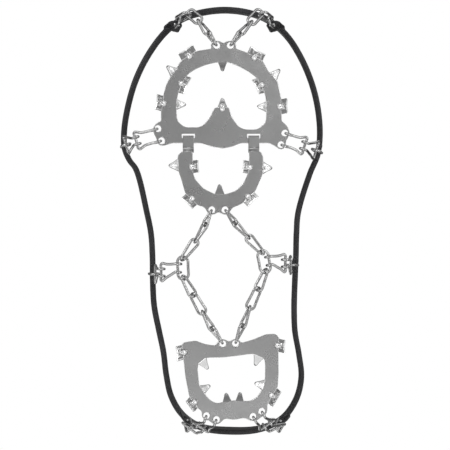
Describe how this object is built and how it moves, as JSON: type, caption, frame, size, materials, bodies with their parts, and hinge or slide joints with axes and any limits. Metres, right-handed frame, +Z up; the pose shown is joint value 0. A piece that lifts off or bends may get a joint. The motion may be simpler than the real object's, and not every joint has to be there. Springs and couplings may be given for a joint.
{
  "type": "shoe ice cleats",
  "caption": "Slip-on ice cleats for a boot: three stamped spike plates joined by wire chains to a stretch rubber harness.",
  "frame": {"origin": "on the sole-side face of the toe plate, on its solid middle web", "axes": "+Z up from the spikes towards the boot, +Y towards the toe, +X to the wearer's right"},
  "size_m": [0.1452, 0.3092, 0.0673],
  "materials": {
    "stamped_steel": "tumbled satin with bright sheared edges",
    "chain_steel": "bright polished wire",
    "harness_rubber": "smooth satin moulded elastomer"
  },
  "bodies": {
    "toe_plate": {"toe_plate": "stamped_steel", "harness_front": "harness_rubber"},
    "ball_plate": {"ball_plate": "stamped_steel", "harness_rear": "harness_rubber", "harness_bridge_right": "harness_rubber", "harness_bridge_left": "harness_rubber"},
    "heel_plate": {"heel_plate": "stamped_steel"},
    "toe_chain_right_1": {"toe_chain_right_1": "chain_steel"},
    "toe_chain_right_2": {"toe_chain_right_2": "chain_steel"},
    "toe_chain_right_3": {"toe_chain_right_3": "chain_steel"},
    "toe_chain_right_4": {"toe_chain_right_4": "chain_steel"},
    "toe_ring_right": {"toe_ring_right": "chain_steel"},
    "arch_chain_right_front_1": {"arch_chain_right_front_1": "chain_steel"},
    "arch_chain_right_front_2": {"arch_chain_right_front_2": "chain_steel"},
    "arch_chain_right_front_3": {"arch_chain_right_front_3": "chain_steel"},
    "arch_junction_right": {"arch_junction_right": "chain_steel"},
    "arch_chain_right_rear_1": {"arch_chain_right_rear_1": "chain_steel"},
    "arch_chain_right_rear_2": {"arch_chain_right_rear_2": "chain_steel"},
    "arch_chain_right_rear_3": {"arch_chain_right_rear_3": "chain_steel"},
    "arch_chain_right_rear_4": {"arch_chain_right_rear_4": "chain_steel"},
    "toe_chain_left_1": {"toe_chain_left_1": "chain_steel"},
    "toe_chain_left_2": {"toe_chain_left_2": "chain_steel"},
    "toe_chain_left_3": {"toe_chain_left_3": "chain_steel"},
    "toe_chain_left_4": {"toe_chain_left_4": "chain_steel"},
    "toe_ring_left": {"toe_ring_left": "chain_steel"},
    "arch_chain_left_front_1": {"arch_chain_left_front_1": "chain_steel"},
    "arch_chain_left_front_2": {"arch_chain_left_front_2": "chain_steel"},
    "arch_chain_left_front_3": {"arch_chain_left_front_3": "chain_steel"},
    "arch_junction_left": {"arch_junction_left": "chain_steel"},
    "arch_chain_left_rear_1": {"arch_chain_left_rear_1": "chain_steel"},
    "arch_chain_left_rear_2": {"arch_chain_left_rear_2": "chain_steel"},
    "arch_chain_left_rear_3": {"arch_chain_left_rear_3": "chain_steel"},
    "arch_chain_left_rear_4": {"arch_chain_left_rear_4": "chain_steel"},
    "ball_ladder_right_1": {"ball_ladder_right_1": "chain_steel"},
    "ball_ladder_right_2": {"ball_ladder_right_2": "chain_steel"},
    "ball_ring_right": {"ball_ring_right": "chain_steel"},
    "ball_ladder_left_1": {"ball_ladder_left_1": "chain_steel"},
    "ball_ladder_left_2": {"ball_ladder_left_2": "chain_steel"},
    "ball_ring_left": {"ball_ring_left": "chain_steel"},
    "waist_ladder_right_1": {"waist_ladder_right_1": "chain_steel"},
    "waist_ladder_right_2": {"waist_ladder_right_2": "chain_steel"},
    "waist_ring_right": {"waist_ring_right": "chain_steel"},
    "waist_ladder_left_1": {"waist_ladder_left_1": "chain_steel"},
    "waist_ladder_left_2": {"waist_ladder_left_2": "chain_steel"},
    "waist_ring_left": {"waist_ring_left": "chain_steel"},
    "heel_ladder_right_1": {"heel_ladder_right_1": "chain_steel"},
    "heel_ladder_right_2": {"heel_ladder_right_2": "chain_steel"},
    "heel_ring_right": {"heel_ring_right": "chain_steel"},
    "heel_ladder_left_1": {"heel_ladder_left_1": "chain_steel"},
    "heel_ladder_left_2": {"heel_ladder_left_2": "chain_steel"},
    "heel_ring_left": {"heel_ring_left": "chain_steel"}
  },
  "joints": [
    {"name": "forefoot_flex", "type": "hinge", "parent": "toe_plate", "child": "ball_plate", "pos_m": [0, -0.00399, -0.00075], "axis": [-1, 0, 0], "range_deg": [0, 25], "deforming": ["harness_bridge_right", "harness_bridge_left"]},
    {"name": "heel_plate_rock", "type": "hinge", "parent": "ball_plate", "child": "heel_plate", "pos_m": [-0.005, -0.14605, -0.00075], "axis": [1, 0, 0], "range_deg": [-1, 1]},
    {"name": "toe_chain_right_1_roll", "type": "hinge", "parent": "toe_plate", "child": "toe_chain_right_1", "pos_m": [0.00695, 0.06767, 0.00055], "axis": [0.5328, 0.8126, 0.2363], "range_deg": [-5, 5]},
    {"name": "toe_chain_right_2_roll", "type": "hinge", "parent": "toe_plate", "child": "toe_chain_right_2", "pos_m": [0.01277, 0.07589, 0.00596], "axis": [0.4462, 0.7046, 0.5518], "range_deg": [-5, 5]},
    {"name": "toe_chain_right_3_roll", "type": "hinge", "parent": "toe_plate", "child": "toe_chain_right_3", "pos_m": [0.01962, 0.08464, 0.01374], "axis": [0.59, 0.5478, 0.5931], "range_deg": [-5, 5]},
    {"name": "toe_chain_right_4_roll", "type": "hinge", "parent": "toe_plate", "child": "toe_chain_right_4", "pos_m": [0.02758, 0.08572, 0.02162], "axis": [0.5583, -0.2371, 0.7951], "range_deg": [-5, 5]},
    {"name": "toe_ring_right_roll", "type": "hinge", "parent": "toe_plate", "child": "toe_ring_right", "pos_m": [0.03202, 0.0829, 0.0299], "axis": [0.3851, -0.3459, 0.8556], "range_deg": [-5, 5]},
    {"name": "arch_chain_right_front_1_roll", "type": "hinge", "parent": "ball_plate", "child": "arch_chain_right_front_1", "pos_m": [0.00982, -0.05821, -0.00199], "axis": [0.4081, -0.8894, -0.2059], "range_deg": [-5, 5]},
    {"name": "arch_chain_right_front_2_roll", "type": "hinge", "parent": "ball_plate", "child": "arch_chain_right_front_2", "pos_m": [0.01502, -0.06846, -0.003], "axis": [0.5164, -0.8564, -0.0003], "range_deg": [-5, 5]},
    {"name": "arch_chain_right_front_3_roll", "type": "hinge", "parent": "ball_plate", "child": "arch_chain_right_front_3", "pos_m": [0.02299, -0.08046, -0.00299], "axis": [0.5951, -0.8037, -0.0018], "range_deg": [-5, 5]},
    {"name": "arch_junction_right_roll", "type": "hinge", "parent": "ball_plate", "child": "arch_junction_right", "pos_m": [0.0273, -0.0931, -0.003], "axis": [0.0449, 0.999, 0], "range_deg": [-0.8, 0.8]},
    {"name": "arch_chain_right_rear_1_roll", "type": "hinge", "parent": "ball_plate", "child": "arch_chain_right_rear_1", "pos_m": [0.00357, -0.1401, -0.00197], "axis": [0.5544, 0.8132, -0.1772], "range_deg": [-5, 5]},
    {"name": "arch_chain_right_rear_2_roll", "type": "hinge", "parent": "ball_plate", "child": "arch_chain_right_rear_2", "pos_m": [0.01016, -0.12981, -0.003], "axis": [0.4827, 0.8758, -0.0005], "range_deg": [-5, 5]},
    {"name": "arch_chain_right_rear_3_roll", "type": "hinge", "parent": "ball_plate", "child": "arch_chain_right_rear_3", "pos_m": [0.01672, -0.11805, -0.003], "axis": [0.4938, 0.8696, 0], "range_deg": [-5, 5]},
    {"name": "arch_chain_right_rear_4_roll", "type": "hinge", "parent": "ball_plate", "child": "arch_chain_right_rear_4", "pos_m": [0.02359, -0.10577, -0.00301], "axis": [0.4825, 0.8759, 0.0014], "range_deg": [-5, 5]},
    {"name": "toe_chain_left_1_roll", "type": "hinge", "parent": "toe_plate", "child": "toe_chain_left_1", "pos_m": [-0.00955, 0.06771, 0.0006], "axis": [0.5837, -0.7783, -0.2314], "range_deg": [-5, 5]},
    {"name": "toe_chain_left_2_roll", "type": "hinge", "parent": "toe_plate", "child": "toe_chain_left_2", "pos_m": [-0.01627, 0.07553, 0.00593], "axis": [0.5356, -0.6503, -0.5387], "range_deg": [-5, 5]},
    {"name": "toe_chain_left_3_roll", "type": "hinge", "parent": "toe_plate", "child": "toe_chain_left_3", "pos_m": [-0.02364, 0.08432, 0.01357], "axis": [0.5402, -0.6238, -0.5649], "range_deg": [-5, 5]},
    {"name": "toe_chain_left_4_roll", "type": "hinge", "parent": "toe_plate", "child": "toe_chain_left_4", "pos_m": [-0.03122, 0.08584, 0.02145], "axis": [0.4787, 0.2745, -0.834], "range_deg": [-5, 5]},
    {"name": "toe_ring_left_roll", "type": "hinge", "parent": "toe_plate", "child": "toe_ring_left", "pos_m": [-0.03528, 0.08287, 0.02985], "axis": [-0.375, -0.3373, 0.8635], "range_deg": [-5, 5]},
    {"name": "arch_chain_left_front_1_roll", "type": "hinge", "parent": "ball_plate", "child": "arch_chain_left_front_1", "pos_m": [-0.00617, -0.05759, -0.00198], "axis": [0.6021, 0.7732, 0.1991], "range_deg": [-5, 5]},
    {"name": "arch_chain_left_front_2_roll", "type": "hinge", "parent": "ball_plate", "child": "arch_chain_left_front_2", "pos_m": [-0.01368, -0.06667, -0.00299], "axis": [0.686, 0.7276, 0.0018], "range_deg": [-5, 5]},
    {"name": "arch_chain_left_front_3_roll", "type": "hinge", "parent": "ball_plate", "child": "arch_chain_left_front_3", "pos_m": [-0.02328, -0.07703, -0.003], "axis": [0.6718, 0.7407, -0.0002], "range_deg": [-5, 5]},
    {"name": "arch_junction_left_roll", "type": "hinge", "parent": "ball_plate", "child": "arch_junction_left", "pos_m": [-0.02943, -0.08865, -0.003], "axis": [0.1911, 0.9816, 0], "range_deg": [-0.8, 0.8]},
    {"name": "arch_chain_left_rear_1_roll", "type": "hinge", "parent": "ball_plate", "child": "arch_chain_left_rear_1", "pos_m": [-0.01216, -0.13889, -0.00197], "axis": [0.356, -0.9183, 0.173], "range_deg": [-5, 5]},
    {"name": "arch_chain_left_rear_2_roll", "type": "hinge", "parent": "ball_plate", "child": "arch_chain_left_rear_2", "pos_m": [-0.01692, -0.12716, -0.00294], "axis": [0.3542, -0.9351, 0.0095], "range_deg": [-5, 5]},
    {"name": "arch_chain_left_rear_3_roll", "type": "hinge", "parent": "ball_plate", "child": "arch_chain_left_rear_3", "pos_m": [-0.02223, -0.1143, -0.00299], "axis": [0.4163, -0.9092, 0.0007], "range_deg": [-5, 5]},
    {"name": "arch_chain_left_rear_4_roll", "type": "hinge", "parent": "ball_plate", "child": "arch_chain_left_rear_4", "pos_m": [-0.02793, -0.10132, -0.00302], "axis": [0.3889, -0.9213, -0.0032], "range_deg": [-5, 5]},
    {"name": "ball_ladder_right_1_swing", "type": "hinge", "parent": "toe_plate", "child": "ball_ladder_right_1", "pos_m": [0.04634, -0.00057, -0.00075], "axis": [0.2851, 0.9585, 0], "range_deg": [-0.8, 0.8]},
    {"name": "ball_ladder_right_2_swing", "type": "hinge", "parent": "ball_ladder_right_1", "child": "ball_ladder_right_2", "pos_m": [0.0602, -0.004, 0.0006], "axis": [0.2921, 0.9564, 0], "range_deg": [-0.8, 0.8]},
    {"name": "ball_ring_right_roll", "type": "hinge", "parent": "ball_ladder_right_2", "child": "ball_ring_right", "pos_m": [0.06841, -0.00644, 0.01685], "axis": [0.0748, -0.0249, 0.9969], "range_deg": [-3, 3]},
    {"name": "ball_ladder_left_1_swing", "type": "hinge", "parent": "toe_plate", "child": "ball_ladder_left_1", "pos_m": [-0.0454, -0.0036, -0.00075], "axis": [-0.327, 0.945, 0], "range_deg": [-0.8, 0.8]},
    {"name": "ball_ladder_left_2_swing", "type": "hinge", "parent": "ball_ladder_left_1", "child": "ball_ladder_left_2", "pos_m": [-0.0579, -0.0076, 0.0006], "axis": [-0.3159, 0.9488, 0], "range_deg": [-0.8, 0.8]},
    {"name": "ball_ring_left_roll", "type": "hinge", "parent": "ball_ladder_left_2", "child": "ball_ring_left", "pos_m": [-0.06742, -0.01047, 0.01636], "axis": [0.1458, 0.0486, -0.9881], "range_deg": [-3, 3]},
    {"name": "waist_ladder_right_1_swing", "type": "hinge", "parent": "arch_junction_right", "child": "waist_ladder_right_1", "pos_m": [0.03107, -0.0931, -0.00163], "axis": [-0.043, 0.9991, 0], "range_deg": [-0.8, 0.8]},
    {"name": "waist_ladder_right_2_swing", "type": "hinge", "parent": "waist_ladder_right_1", "child": "waist_ladder_right_2", "pos_m": [0.0428, -0.0963, 0.002], "axis": [0, 1, 0], "range_deg": [-0.8, 0.8]},
    {"name": "waist_ring_right_roll", "type": "hinge", "parent": "waist_ladder_right_2", "child": "waist_ring_right", "pos_m": [0.04822, -0.0978, 0.01906], "axis": [-0.1483, 0, -0.9889], "range_deg": [-3, 3]},
    {"name": "waist_ladder_left_1_swing", "type": "hinge", "parent": "arch_junction_left", "child": "waist_ladder_left_1", "pos_m": [-0.03314, -0.088, -0.00163], "axis": [0.194, 0.981, 0], "range_deg": [-0.8, 0.8]},
    {"name": "waist_ladder_left_2_swing", "type": "hinge", "parent": "waist_ladder_left_1", "child": "waist_ladder_left_2", "pos_m": [-0.0445, -0.0899, 0.0026], "axis": [0, 1, 0], "range_deg": [-0.8, 0.8]},
    {"name": "waist_ring_left_roll", "type": "hinge", "parent": "waist_ladder_left_2", "child": "waist_ring_left", "pos_m": [-0.04998, -0.09158, 0.01966], "axis": [0.2116, 0.0326, -0.9768], "range_deg": [-3, 3]},
    {"name": "heel_ladder_right_1_swing", "type": "hinge", "parent": "heel_plate", "child": "heel_ladder_right_1", "pos_m": [0.00839, -0.2005, -0.00075], "axis": [0.9316, 0.3634, 0], "range_deg": [-0.8, 0.8]},
    {"name": "heel_ladder_right_2_swing", "type": "hinge", "parent": "heel_ladder_right_1", "child": "heel_ladder_right_2", "pos_m": [0.0152, -0.2058, 0.0084], "axis": [0.8339, 0.5519, 0], "range_deg": [-0.8, 0.8]},
    {"name": "heel_ring_right_roll", "type": "hinge", "parent": "heel_ladder_right_2", "child": "heel_ring_right", "pos_m": [0.02408, -0.20568, 0.02358], "axis": [0.1278, 0.3238, 0.9374], "range_deg": [-3, 3]},
    {"name": "heel_ladder_left_1_swing", "type": "hinge", "parent": "heel_plate", "child": "heel_ladder_left_1", "pos_m": [-0.0262, -0.1978, -0.00075], "axis": [-0.8653, 0.5012, 0], "range_deg": [-0.8, 0.8]},
    {"name": "heel_ladder_left_2_swing", "type": "hinge", "parent": "heel_ladder_left_1", "child": "heel_ladder_left_2", "pos_m": [-0.0322, -0.204, 0.0082], "axis": [-0.8238, 0.5669, 0], "range_deg": [-0.8, 0.8]},
    {"name": "heel_ring_left_roll", "type": "hinge", "parent": "heel_ladder_left_2", "child": "heel_ring_left", "pos_m": [-0.04067, -0.20588, 0.02348], "axis": [0.2352, -0.2436, -0.9409], "range_deg": [-3, 3]}
  ]
}
